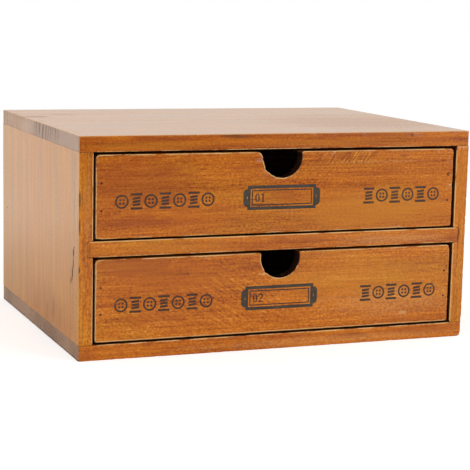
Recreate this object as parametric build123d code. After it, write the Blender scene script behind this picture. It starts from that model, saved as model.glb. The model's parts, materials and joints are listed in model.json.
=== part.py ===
from build123d import *

import os

# A small wooden box with two drawers for buttons and other sewing things.
#
# X is the width, Y the depth and Z is up; the drawers open towards -Y. The origin is the middle of
# the underside. Lengths are in millimetres. The case is five solid boards and a thin plywood back,
# held by brads. Each drawer is a front with a round finger notch, two sides and a back, butted and
# bradded, with a plywood bottom in grooves. The drawers run on the boards under them and stop
# against the case's back. Every brad is a solid of its own, in a hole that is cut to its size.

# The case
case_width = 300.0
case_depth = 230.0
case_height = 156.0
top_thickness = 11.0
bottom_thickness = 11.0
side_thickness = 10.0
shelf_thickness = 11.0
shelf_housing = 4.0          # how far the shelf's ends are let into the sides
back_thickness = 3.0
back_lap = 5.0               # how far the back panel laps each board's rear edge
back_fit = 0.2               # gap around the back panel in its rebate
case_arris = 0.6             # rounding of the case's outer edges

# The drawers
front_thickness = 10.0
front_recess = 1.0           # how far a drawer's face lies behind the case's front
front_side_gap = 2.0
front_top_gap = 2.0
front_bottom_gap = 1.3
front_arris = 0.8            # rounding of the edges of a drawer's face
notch_radius = 15.0
notch_centre_drop = 3.8      # the notch's centre lies this far under the front's top edge
drawer_side_gap = 2.5        # from a drawer's side to the case's side
drawer_rear_gap = 0.3        # from a closed drawer to the case's back panel
drawer_side_thickness = 7.0
drawer_side_drop = 1.0       # the drawer's sides end this far under the front's top edge
drawer_back_thickness = 7.0
drawer_bottom_thickness = 3.0
groove_rise = 4.0            # from the underside of a drawer's sides to the groove
groove_depth = 3.5
groove_slack = 0.2           # room above the bottom panel in its groove
groove_end_gap = 0.3         # room between the bottom panel's edges and the groove's floor

# The brads
brad_radius = 0.55
brad_head_radius = 0.75
brad_head_height = 0.8
brad_point = 1.5             # length of the tapered point
brad_point_radius = 0.2
brad_sink = 0.4              # the heads are punched this far under the surface
brad_fit = 0.05              # gap around a brad in its hole
case_brad_length = 30.0
front_brad_length = 25.0
drawer_back_brad_length = 20.0
panel_pin_length = 10.0
case_brads_a_side = 3
case_brad_inset = 25.0       # from the case's front and rear to the outer brads
shelf_brad_inset = 11.5      # from the front and the rear to the brads through the sides
front_brad_spacing = 19.0
drawer_back_brad_margin = 13.0   # from the top and bottom of a drawer's back to its brads
back_pins_across = 4
back_pins_up = 2
back_pin_margin = 30.0       # from the back panel's corners to the first pins
drawer_bottom_pins = 3
drawer_bottom_pin_margin = 40.0  # from the ends of a drawer's back to the outer pins

# Places worked out from the sizes above
case_end = case_width / 2
case_front = -case_depth / 2
case_rear = case_depth / 2
inner_end = case_end - side_thickness
ceiling = case_height - top_thickness
bay_height = (ceiling - bottom_thickness - shelf_thickness) / 2
shelf_low = bottom_thickness + bay_height
shelf_high = shelf_low + shelf_thickness
back_front = case_rear - back_thickness
rebate_end = inner_end + back_lap

face = case_front + front_recess
front_back = face + front_thickness
front_end = inner_end - front_side_gap
front_top_rise = bay_height - front_top_gap      # above the board that the drawer runs on
drawer_end = inner_end - drawer_side_gap
drawer_rear = back_front - drawer_rear_gap
drawer_inner_end = drawer_end - drawer_side_thickness
drawer_back_front = drawer_rear - drawer_back_thickness
side_top_rise = front_top_rise - drawer_side_drop
panel_top_rise = groove_rise + drawer_bottom_thickness

LEFT, RIGHT = -1, 1


def block(x, y, z):
    """A block between the two ends given along X, Y and Z, in either order."""
    spans = [sorted(ends) for ends in (x, y, z)]
    centre = [(low + high) / 2 for low, high in spans]
    return Pos(*centre) * Box(*[high - low for low, high in spans])


def spread(low, high, count):
    """Places evenly spaced from low to high, both ends included, or the middle for a single one."""
    if count < 2:
        return [(low + high) / 2]
    return [low + (high - low) * i / (count - 1) for i in range(count)]


def eased(board, edges, radius):
    """The board with the given edges rounded, never past a third of its thinnest side."""
    size = board.bounding_box().size
    return fillet(edges, min(radius, size.X / 3, size.Y / 3, size.Z / 3))


def brad(head, outward, length):
    """One brad: its head is sunk under the surface at head, and outward points out of the wood."""
    seat = brad_sink + brad_head_height
    straight = length - brad_point - seat
    cap = Pos(0, 0, -brad_sink - brad_head_height / 2) * Cylinder(brad_head_radius, brad_head_height)
    shank = Pos(0, 0, -seat - straight / 2) * Cylinder(brad_radius, straight)
    point = Pos(0, 0, -length + brad_point / 2) * Cone(brad_point_radius, brad_radius, brad_point)
    return Plane(origin=head, z_dir=outward).location * (cap + shank + point)


def brad_hole(head, outward, length):
    """The hole for a brad, a little wider than it and open at the surface."""
    seat = brad_sink + brad_head_height
    cap = Pos(0, 0, -seat / 2) * Cylinder(brad_head_radius + brad_fit, seat)
    shank = Pos(0, 0, -(length + brad_fit) / 2) * Cylinder(brad_radius + brad_fit, length + brad_fit)
    return Plane(origin=head, z_dir=outward).location * (cap + shank)


def brads(places):
    """All the brads of one row of places, as separate solids."""
    return Compound(children=[brad(*place) for place in places])


def drilled(board, *rows):
    """The board with a hole for every brad in the given rows of places."""
    holes = [brad_hole(*place) for row in rows for place in row]
    return board - holes if holes else board


# Where the case's brads go: (head, direction out of the wood, length)
def top_brad_places():
    x = case_end - side_thickness / 2
    rows = spread(case_front + case_brad_inset, case_rear - case_brad_inset, case_brads_a_side)
    return [((side * x, y, case_height), (0, 0, 1), case_brad_length)
            for side in (LEFT, RIGHT) for y in rows]


def bottom_brad_places():
    return [((x, y, 0), (0, 0, -1), length) for (x, y, _), _, length in top_brad_places()]


def shelf_brad_places():
    z = (shelf_low + shelf_high) / 2
    return [((side * case_end, y, z), (side, 0, 0), case_brad_length)
            for side in (LEFT, RIGHT)
            for y in (case_front + shelf_brad_inset, back_front - shelf_brad_inset)]


def back_pin_places():
    x = inner_end + back_lap / 2
    low, high = bottom_thickness - back_lap / 2, ceiling + back_lap / 2
    across = [(i, z) for z in (low, high)
              for i in spread(back_pin_margin - x, x - back_pin_margin, back_pins_across)]
    up = [(side * x, z) for side in (LEFT, RIGHT)
          for z in spread(low + back_pin_margin, high - back_pin_margin, back_pins_up)]
    return [((i, case_rear, z), (0, 1, 0), panel_pin_length) for i, z in across + up]


# The case
def back_rebate():
    """The space for the back panel, cut into all four boards around it."""
    return block((-rebate_end, rebate_end), (back_front, case_rear),
                 (bottom_thickness - back_lap, ceiling + back_lap))


def top_panel():
    panel = block((-case_end, case_end), (case_front, case_rear), (ceiling, case_height))
    outer = panel.edges().filter_by(Axis.Z) + panel.faces().sort_by(Axis.Z)[-1].edges()
    panel = eased(panel, outer, case_arris) - back_rebate()
    return drilled(panel, top_brad_places(), back_pin_places())


def bottom_panel():
    panel = block((-case_end, case_end), (case_front, case_rear), (0, bottom_thickness))
    outer = panel.edges().filter_by(Axis.Z) + panel.faces().sort_by(Axis.Z)[0].edges()
    panel = eased(panel, outer, case_arris) - back_rebate()
    return drilled(panel, bottom_brad_places(), back_pin_places())


def shelf_space():
    """The shelf's whole length, which also cuts the housings in the sides."""
    length = inner_end + shelf_housing
    return block((-length, length), (case_front, back_front), (shelf_low, shelf_high))


def side_panel(side):
    panel = block((side * inner_end, side * case_end), (case_front, case_rear),
                  (bottom_thickness, ceiling))
    outer = panel.edges().filter_by(Axis.Z).sort_by(lambda edge: side * edge.center().X)[-2:]
    panel = eased(panel, outer, case_arris) - [shelf_space(), back_rebate()]
    return drilled(panel, top_brad_places(), bottom_brad_places(), shelf_brad_places(),
                   back_pin_places())


def divider_shelf():
    return drilled(shelf_space(), shelf_brad_places())


def back_panel():
    panel = block((back_fit - rebate_end, rebate_end - back_fit), (back_front, case_rear),
                  (bottom_thickness - back_lap + back_fit, ceiling + back_lap - back_fit))
    return drilled(panel, back_pin_places())


# Where a drawer's brads go, for a drawer that runs on a board at height floor
def front_brad_places(floor):
    x = drawer_end - drawer_side_thickness / 2
    middle = floor + (front_bottom_gap + front_top_rise) / 2
    return [((side * x, face, middle + up * front_brad_spacing / 2), (0, -1, 0), front_brad_length)
            for side in (LEFT, RIGHT) for up in (-1, 1)]


def drawer_back_brad_places(floor):
    y = (drawer_back_front + drawer_rear) / 2
    heights = (floor + panel_top_rise + drawer_back_brad_margin,
               floor + side_top_rise - drawer_back_brad_margin)
    return [((side * drawer_end, y, z), (side, 0, 0), drawer_back_brad_length)
            for side in (LEFT, RIGHT) for z in heights]


def drawer_bottom_pin_places(floor):
    y = (drawer_back_front + drawer_rear) / 2
    x = drawer_inner_end - drawer_bottom_pin_margin
    return [((i, y, floor + groove_rise), (0, 0, -1), panel_pin_length)
            for i in spread(-x, x, drawer_bottom_pins)]


# The drawers
def bottom_groove(floor):
    """The groove around the drawer's inside, as the whole slice of space that it opens up."""
    reach = drawer_inner_end + groove_depth
    return block((-reach, reach), (front_back - groove_depth, drawer_rear),
                 (floor + groove_rise, floor + panel_top_rise + groove_slack))


def drawer_front(floor):
    low, high = floor + front_bottom_gap, floor + front_top_rise
    front = block((-front_end, front_end), (face, front_back), (low, high))
    notch = Pos(0, (face + front_back) / 2, high - notch_centre_drop) * Rot(90, 0, 0)
    front = front - notch * Cylinder(notch_radius, 2 * front_thickness)
    front = eased(front, front.faces().sort_by(Axis.Y)[0].edges(), front_arris)
    return drilled(front - bottom_groove(floor), front_brad_places(floor))


def drawer_side(floor, side):
    board = block((side * drawer_inner_end, side * drawer_end), (front_back, drawer_rear),
                  (floor, floor + side_top_rise))
    return drilled(board - bottom_groove(floor), front_brad_places(floor),
                   drawer_back_brad_places(floor))


def drawer_back(floor):
    board = block((-drawer_inner_end, drawer_inner_end), (drawer_back_front, drawer_rear),
                  (floor + panel_top_rise, floor + side_top_rise))
    return drilled(board, drawer_back_brad_places(floor), drawer_bottom_pin_places(floor))


def drawer_bottom(floor):
    reach = drawer_inner_end + groove_depth - groove_end_gap
    panel = block((-reach, reach), (front_back - groove_depth + groove_end_gap, drawer_rear),
                  (floor + groove_rise, floor + panel_top_rise))
    return drilled(panel, drawer_bottom_pin_places(floor))


def drawer(name, floor):
    """The pieces of one drawer, by node name."""
    return {
        f"{name}_drawer_front": drawer_front(floor),
        f"{name}_drawer_left_side": drawer_side(floor, LEFT),
        f"{name}_drawer_right_side": drawer_side(floor, RIGHT),
        f"{name}_drawer_back": drawer_back(floor),
        f"{name}_drawer_bottom": drawer_bottom(floor),
        f"{name}_drawer_front_brads": brads(front_brad_places(floor)),
        f"{name}_drawer_back_brads": brads(drawer_back_brad_places(floor)),
        f"{name}_drawer_bottom_pins": brads(drawer_bottom_pin_places(floor)),
    }


nodes = {
    "top_panel": top_panel(),
    "bottom_panel": bottom_panel(),
    "left_side_panel": side_panel(LEFT),
    "right_side_panel": side_panel(RIGHT),
    "divider_shelf": divider_shelf(),
    "back_panel": back_panel(),
    "top_panel_brads": brads(top_brad_places()),
    "bottom_panel_brads": brads(bottom_brad_places()),
    "divider_shelf_brads": brads(shelf_brad_places()),
    "back_panel_pins": brads(back_pin_places()),
    **drawer("lower", bottom_thickness),
    **drawer("upper", shelf_high),
}

os.makedirs("parts", exist_ok=True)
for name, solid in nodes.items():
    export_step(solid, f"parts/{name}.step")
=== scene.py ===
import json
import random
from collections import namedtuple
from math import atan2, ceil, cos, dist, hypot, pi, radians, sin, sqrt

import bmesh
import bpy
import numpy as np
from mathutils import Matrix, Vector, kdtree, noise
from mathutils.geometry import delaunay_2d_cdt, tessellate_polygon

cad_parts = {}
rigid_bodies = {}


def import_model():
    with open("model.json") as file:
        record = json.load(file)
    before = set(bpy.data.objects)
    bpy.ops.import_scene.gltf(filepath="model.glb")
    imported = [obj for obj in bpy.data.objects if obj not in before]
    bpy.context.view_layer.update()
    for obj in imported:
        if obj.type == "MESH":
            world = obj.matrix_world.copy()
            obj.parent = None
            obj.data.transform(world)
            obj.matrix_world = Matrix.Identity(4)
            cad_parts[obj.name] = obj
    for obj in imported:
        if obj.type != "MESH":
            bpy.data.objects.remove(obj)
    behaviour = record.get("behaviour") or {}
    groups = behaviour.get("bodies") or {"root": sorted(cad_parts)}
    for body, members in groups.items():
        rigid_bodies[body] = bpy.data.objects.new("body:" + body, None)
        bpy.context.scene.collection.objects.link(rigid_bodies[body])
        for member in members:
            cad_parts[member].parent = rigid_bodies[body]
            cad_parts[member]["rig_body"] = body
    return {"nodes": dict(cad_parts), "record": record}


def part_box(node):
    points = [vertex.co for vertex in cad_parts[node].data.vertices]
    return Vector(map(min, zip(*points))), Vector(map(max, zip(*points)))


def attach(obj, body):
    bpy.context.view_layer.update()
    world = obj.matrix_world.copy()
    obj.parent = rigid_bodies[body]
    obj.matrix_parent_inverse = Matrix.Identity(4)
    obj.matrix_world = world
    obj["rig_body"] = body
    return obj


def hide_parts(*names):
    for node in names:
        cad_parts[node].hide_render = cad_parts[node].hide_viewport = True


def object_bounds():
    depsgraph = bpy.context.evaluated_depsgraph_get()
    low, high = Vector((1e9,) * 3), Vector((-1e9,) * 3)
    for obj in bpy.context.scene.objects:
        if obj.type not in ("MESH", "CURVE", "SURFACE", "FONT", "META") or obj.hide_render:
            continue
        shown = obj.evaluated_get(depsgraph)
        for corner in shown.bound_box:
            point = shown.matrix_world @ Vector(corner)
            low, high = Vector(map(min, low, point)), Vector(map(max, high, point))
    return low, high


# The looks of a small stained-pine box with two drawers. Every board is modelled anew over its CAD
# solid, with uneven worn edges, nicks, housings, grooves and brad holes, and printed signs lie on
# the drawer fronts. Sizes are in millimetres and turned into metres where a mesh is made.

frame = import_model()
cad_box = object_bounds()

MM = 0.001
QUARTER = pi / 2


# ---- camera, light and background

# The photograph's camera, worked out from the case's corners: place in metres, angles in degrees
CAMERA_PLACE = Vector((-0.4276, -1.1084, 0.2526))
CAMERA_YAW = 21.52  # turned to the right of straight ahead
CAMERA_PITCH = 8.95  # looking down
CAMERA_ROLL = 1.26
FOCAL_LENGTH = 1527.3  # in pixels of the photograph
PHOTO_WIDTH = 470
SENSOR_WIDTH = 36.0

LAMP_TARGET = (0, 0, 0.08)
# Each lamp's name, its place and size in metres, and its power in watts
LAMPS = [("key", (1.3, -1.5, 0.7), 1.3, 17), ("fill", (-1.6, -0.7, 0.6), 1.3, 9)]

WHITE = (1.0, 1.0, 1.0, 1.0)
AMBIENT = 0.55  # what the surroundings give to matt surfaces
ROOM_LIGHT = 0.04  # how bright the room in front of the box is in reflections
ROOM_EDGE = (-0.75, 0.1)  # the room turns into the white backdrop between these directions' Y
FLOOR_COLOUR = (0.8, 0.797, 0.793, 1.0)
FLOOR_ROUGHNESS = 0.9
FLOOR_SPECULAR = 0.1
FLOOR_SIDES = 96
FLOOR_DROP = 0.05  # the floor's depth under the box, in millimetres
FLOOR_GLOW = 0.54  # lifts the floor to white for the camera alone
FLOOR_SHEEN = 0.5  # and the same for reflections of its far parts
SHEEN_RADII = (0.11, 0.75)
FLOOR_RADIUS = 1.6
FLOOR_FADE = (0.45, 1.25)  # the floor melts into the white surroundings between these radii


def add_object(name, data):
    thing = bpy.data.objects.new(name, data)
    bpy.context.scene.collection.objects.link(thing)
    return thing


def add_camera():
    yaw, pitch, roll = (radians(a) for a in (CAMERA_YAW, CAMERA_PITCH, CAMERA_ROLL))
    ahead = Vector((sin(yaw) * cos(pitch), cos(yaw) * cos(pitch), -sin(pitch)))
    level = Vector((cos(yaw), -sin(yaw), 0))
    upright = level.cross(ahead)
    right = level * cos(roll) + upright * sin(roll)
    up = upright * cos(roll) - level * sin(roll)
    camera = add_object("camera", bpy.data.cameras.new("camera"))
    turn = Matrix((right, up, -ahead)).transposed().to_4x4()
    camera.matrix_world = Matrix.Translation(CAMERA_PLACE) @ turn
    camera.data.sensor_width = SENSOR_WIDTH
    camera.data.lens = FOCAL_LENGTH / PHOTO_WIDTH * SENSOR_WIDTH
    bpy.context.scene.camera = camera


def add_lamps():
    for name, place, size, power in LAMPS:
        lamp = add_object(name, bpy.data.lights.new(name, "AREA"))
        lamp.data.size = size
        lamp.data.energy = power
        lamp.location = place
        lamp.rotation_euler = (Vector(LAMP_TARGET) - Vector(place)).to_track_quat("-Z", "Y").to_euler()


def add_world():
    """White to the camera and, past the dim room in front of the box, to reflections. Matt surfaces
    get a plainer light from all round."""
    world = bpy.data.worlds.new("surroundings")
    world.use_nodes = True
    s = Nodes(world.node_tree)
    direction = s.add("TexCoord").outputs["Generated"]
    backwards = s.split(direction)["Y"]
    mirrored = s.total((s.smooth(backwards, *ROOM_EDGE), 1 - ROOM_LIGHT), (1.0, ROOM_LIGHT))
    rays = s.add("LightPath").outputs
    strength = AMBIENT
    for kind, level in (("Glossy", mirrored), ("Transmission", 1.0), ("Camera", 1.0)):
        inputs = {0: rays[f"Is {kind} Ray"], 2: strength, 3: level}
        strength = s.add("Mix", inputs).outputs[0]
    background = s.tree.nodes["Background"]
    s.put(background.inputs["Color"], WHITE)
    s.put(background.inputs["Strength"], strength)
    bpy.context.scene.world = world


def add_floor():
    """A pale round floor just under the box, which keeps its shadow and fades out to white."""
    bpy.ops.mesh.primitive_circle_add(vertices=FLOOR_SIDES, radius=FLOOR_RADIUS, fill_type="NGON")
    floor = bpy.context.object
    floor.name = "floor"
    floor.location.z = cad_box[0][2] - FLOOR_DROP * MM
    s = Shader("floor")
    s.set(Base_Color=FLOOR_COLOUR, Roughness=FLOOR_ROUGHNESS, Specular_IOR_Level=FLOOR_SPECULAR)
    rays = s.add("LightPath").outputs
    distance = s.vector("LENGTH", s.place)
    mirrored = s.math("MAXIMUM", rays["Is Glossy Ray"], rays["Is Transmission Ray"])
    mirrored = s.math("MULTIPLY", s.smooth(distance, *SHEEN_RADII), mirrored)
    glow = s.total((rays["Is Camera Ray"], FLOOR_GLOW), (mirrored, FLOOR_SHEEN))
    s.set(Emission_Color=WHITE, Emission_Strength=glow)
    fade = s.smooth(distance, *FLOOR_FADE)
    clear = s.add("BsdfTransparent").outputs[0]
    mixed = s.add("MixShader", {0: fade, 1: s.surface.outputs[0], 2: clear}).outputs[0]
    s.tree.links.new(mixed, s.tree.nodes["Material Output"].inputs["Surface"])
    floor.data.materials.append(s.material)


# ---- finishes

class Nodes:
    """Short calls for the nodes that the surroundings and the finishes use."""

    def __init__(self, tree):
        self.tree = tree

    def add(self, kind, inputs=None, **settings):
        node = self.tree.nodes.new("ShaderNode" + kind)
        for key, value in settings.items():
            setattr(node, key, value)
        for key, value in (inputs or {}).items():
            self.put(node.inputs[key], value)
        return node

    def split(self, vector):
        """The three parts of a vector."""
        return self.add("SeparateXYZ", {0: vector}).outputs

    def put(self, socket, value):
        if isinstance(value, bpy.types.NodeSocket):
            self.tree.links.new(value, socket)
        elif socket.type == "RGBA" and len(value) == 3:
            socket.default_value = (*value, 1.0)
        else:
            socket.default_value = value

    def math(self, operation, *values):
        node = self.add("Math", dict(enumerate(values)), operation=operation)
        return node.outputs[0]

    def vector(self, operation, *values):
        node = self.add("VectorMath", dict(enumerate(values)), operation=operation)
        return node.outputs["Value" if operation in ("LENGTH", "DOT_PRODUCT") else "Vector"]

    def total(self, *terms):
        """The sum of value times factor over the given (value, factor) pairs."""
        result = 0.0
        for value, factor in terms:
            result = self.math("MULTIPLY_ADD", value, factor, result)
        return result

    def smooth(self, value, low, high):
        """A soft step from 0 at low to 1 at high, where low may lie above high."""
        inputs = {"Value": value, "From Min": low, "From Max": high}
        return self.add("MapRange", inputs, interpolation_type="SMOOTHSTEP").outputs[0]

    def noise(self, vector, scale, detail=2.0, rough=0.5, twist=0.0):
        inputs = {"Vector": vector, "Scale": scale, "Detail": detail, "Roughness": rough,
                  "Distortion": twist}
        return self.add("TexNoise", inputs).outputs["Fac"]

    def drawn(self, vector, scales, *settings):
        """Noise drawn out by its own scale on each axis."""
        return self.noise(self.vector("MULTIPLY", vector, scales), 1.0, *settings)

    def mix(self, factor, a, b, blend="MIX"):
        node = self.add("Mix", {0: factor, 6: a, 7: b}, data_type="RGBA", blend_type=blend)
        return node.outputs[2]

    def ramp(self, value, stops):
        node = self.add("ValToRGB", {"Fac": value})
        points = node.color_ramp.elements
        while len(points) < len(stops):
            points.new(0.5)
        for point, (position, colour) in zip(points, stops):
            point.position = position
            point.color = (*colour, 1.0) if isinstance(colour, tuple) else (colour, colour, colour, 1)
        return node.outputs["Color"]


class Shader(Nodes):
    """A material with its surface shader, and the place and normal that its patterns follow."""

    def __init__(self, name):
        self.material = bpy.data.materials.new(name)
        self.material.use_nodes = True
        super().__init__(self.material.node_tree)
        self.surface = self.tree.nodes["Principled BSDF"]
        coordinates = self.add("TexCoord")
        self.place = coordinates.outputs["Object"]
        self.normal = coordinates.outputs["Normal"]

    def set(self, **inputs):
        for name, value in inputs.items():
            self.put(self.surface.inputs[name.replace("_", " ")], value)

    def bump(self, height, strength, distance):
        inputs = {"Height": height, "Strength": strength, "Distance": distance}
        self.set(Normal=self.add("Bump", inputs).outputs[0])


# Stain from its darkest streaks to its palest, as the wood takes it, and the same for bare pine
STAIN = [(0.0, (0.1, 0.018, 0.003)), (0.25, (0.27, 0.056, 0.003)), (0.45, (0.41, 0.105, 0.004)),
         (0.62, (0.53, 0.157, 0.005)), (0.82, (0.63, 0.212, 0.01)), (1.0, (0.75, 0.31, 0.04))]
BARE = [(0.0, (0.24, 0.11, 0.04)), (0.35, (0.43, 0.25, 0.11)), (0.62, (0.56, 0.36, 0.18)),
        (1.0, (0.68, 0.48, 0.27))]
END_STAIN = [(0.05, (0.1, 0.055, 0.032)), (0.45, (0.37, 0.205, 0.115)), (0.9, (0.57, 0.33, 0.185))]
END_BARE = [(0.05, (0.2, 0.1, 0.04)), (0.45, (0.4, 0.24, 0.11)), (0.9, (0.56, 0.38, 0.2))]
WORN_PALE = (0.78, 0.45, 0.17)  # where the stain has worn off an edge
PAINTED_RECESS_SHADE = (0.085, 0.026, 0.008)  # painted shade on the faces inside the case
DARK_STAIN_AND_SHADE = (0.03, 0.01, 0.005)  # the notches' bored walls, end grain stained darker with painted shade where they are lit less, and cracks, with the painted shade of their grooves
DARK = (0.06, 0.016, 0.006)
SMOKY = (0.17, 0.08, 0.035)
BROWN = (0.24, 0.08, 0.02)
REDDISH = (0.3, 0.056, 0.008)
GREYISH = (0.33, 0.22, 0.15)
RUSSET = (0.43, 0.086, 0.003)
# rust-coloured, and used as painted shade low on the left face
RUSTY_SHADE = (0.43, 0.13, 0.03)
UMBER = (0.43, 0.15, 0.03)
DULL_UMBER = (0.43, 0.15, 0.035)
TAN = (0.52, 0.19, 0.04)
GOLD = (0.6, 0.21, 0.012)
END_PALE = (0.62, 0.35, 0.18)
PALE = (0.72, 0.4, 0.15)
PAINTED_SHEEN = (0.8, 0.43, 0.095)  # painted sheen: a face made paler all over, as the white surroundings' reflection would make it
PLY_FACE = [(0.15, (0.33, 0.175, 0.075)), (0.55, (0.52, 0.32, 0.155)), (0.9, (0.66, 0.45, 0.25))]
PLY_CORE = (0.21, 0.105, 0.042)
STEEL = [(0.35, (0.026, 0.012, 0.006)), (0.65, (0.1, 0.058, 0.034))]
INK_GONE = (0.2, 0.095, 0.04)  # where the ink is thinnest
# Each ink's name, and its colour where it is thick and where it is thin
FRAME_INK = ("dark_ink", (0.036, 0.028, 0.019), (0.066, 0.05, 0.033))
LINE_INK = ("brown_ink", (0.026, 0.012, 0.007), (0.06, 0.026, 0.012))
SIGN_INK = ("thin_ink", (0.044, 0.021, 0.01), (0.085, 0.036, 0.014))
# Light and dark across one growth ring
RING = [(0.0, 0.0), (0.5, 0.18), (0.86, 1.0), (0.96, 0.75), (1.0, 0.0)]

# A patch of another colour: its middle and half sizes (X, Y, Z) in millimetres, its strength, how
# far it breaks up into specks, and how far it takes off the gloss
Mark = namedtuple("Mark", "colour at size strength grainy dull", defaults=(0.0, 0.0))
# A patch where short lines cross the grain at an angle in degrees, up to the right in front view
Weave = namedtuple("Weave", "at size angle strength")
WEAVE_SCALES = (60, 640, 1)

NOTCH_RADIUS = 15.0
NOTCH_DROP = 3.8  # from the front's top edge down to the notch's centre
NOTCH_ARRIS = 0.5  # radius of the worn edge round it
NOTCH_RUB = 1.1  # how much stain is rubbed off that edge
# A finger notch: the height of its centre, the rounding of its shoulders on the left and right, how
# far its wall is torn out, and the seed of that
Notch = namedtuple("Notch", "centre shoulders ragged seed")


def along_grain(s, along, seed):
    """The place with the grain's direction first, and the same moved so that no boards are alike."""
    x, y, z = s.split(s.place)
    order = {"X": (x, y, z), "Y": (y, x, z), "Z": (z, x, y)}[along]
    turned = s.add("CombineXYZ", dict(enumerate(order))).outputs[0]
    return turned, s.vector("ADD", turned, (seed * 0.731, seed * 0.417, seed * 0.293))


def growth_rings(s, grain, moved, pith, spacing):
    """Rings round the pith that wander along the board and come and go."""
    long = s.vector("MULTIPLY", moved, (0.14, 1.0, 1.0))
    across = s.vector("SUBTRACT", grain, (0.0, pith[0] * MM, pith[1] * MM))
    radius = s.vector("LENGTH", s.vector("MULTIPLY", across, (0.0, 1.0, 1.0)))
    wander = s.total((radius, 1.0), (s.noise(long, 13, 2), 0.022), (s.noise(long, 55, 3), 0.006))
    rings = s.ramp(s.math("FRACT", s.math("MULTIPLY", wander, 1 / (spacing * MM))), RING)
    return s.math("MULTIPLY", rings, s.smooth(s.noise(long, 24, 2), 0.38, 0.66))


def patch(s, at, size, ragged):
    """1 inside a ragged patch, 0 outside it, with its middle and half sizes in millimetres."""
    offset = s.vector("SUBTRACT", s.place, tuple(MM * i for i in at))
    scaled = s.vector("MULTIPLY", offset, tuple(1 / (MM * i) for i in size))
    reach = s.total((s.vector("LENGTH", scaled), 1.0), (ragged, 1.6), (1.0, -0.8))
    return s.smooth(reach, 1.2, 0.35)


def add_marks(s, colour, marks, ragged, speck):
    """The colour with the marks over it, and how far they take off the gloss."""
    dull = 0.0
    for mark in marks:
        mask = s.math("MULTIPLY", patch(s, mark.at, mark.size, ragged), mark.strength)
        if mark.grainy:
            grains = s.total((s.smooth(speck, 0.42, 0.6), mark.grainy), (1.0, 1 - mark.grainy))
            mask = s.math("MULTIPLY", mask, grains)
        colour = s.mix(mask, colour, mark.colour)
        if mark.dull:
            dull = s.total((mask, mark.dull), (dull, 1.0))
    return colour, dull


def add_weaves(s, level, weaves, ragged):
    """The level with fine slanting lines in the given patches of a front."""
    for weave in weaves:
        turn = radians(weave.angle)
        along = s.vector("DOT_PRODUCT", s.place, (cos(turn), 0.0, sin(turn)))
        across = s.vector("DOT_PRODUCT", s.place, (-sin(turn), 0.0, cos(turn)))
        place = s.add("CombineXYZ", {0: along, 1: across}).outputs[0]
        lines = s.drawn(place, WEAVE_SCALES, 2, 0.6)
        lines = s.math("MULTIPLY", s.math("SUBTRACT", lines, 0.5), patch(s, weave.at, weave.size, ragged))
        level = s.total((lines, weave.strength), (level, 1.0))
    return level


def near_plane(s, axis, value):
    """1 on the plane where that axis has that value in millimetres, 0 from 0.3 mm off it."""
    place = s.split(s.place)[axis]
    return s.smooth(s.math("ABSOLUTE", s.math("SUBTRACT", place, value * MM)), 0.3 * MM, 0.04 * MM)


def facing(s, axis, low, high):
    """A soft step between two cosines of the angle between the surface's normal and the axis."""
    direction = tuple(float(axis == i) for i in "XYZ")
    return s.smooth(s.math("ABSOLUTE", s.vector("DOT_PRODUCT", s.normal, direction)), low, high)


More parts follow.
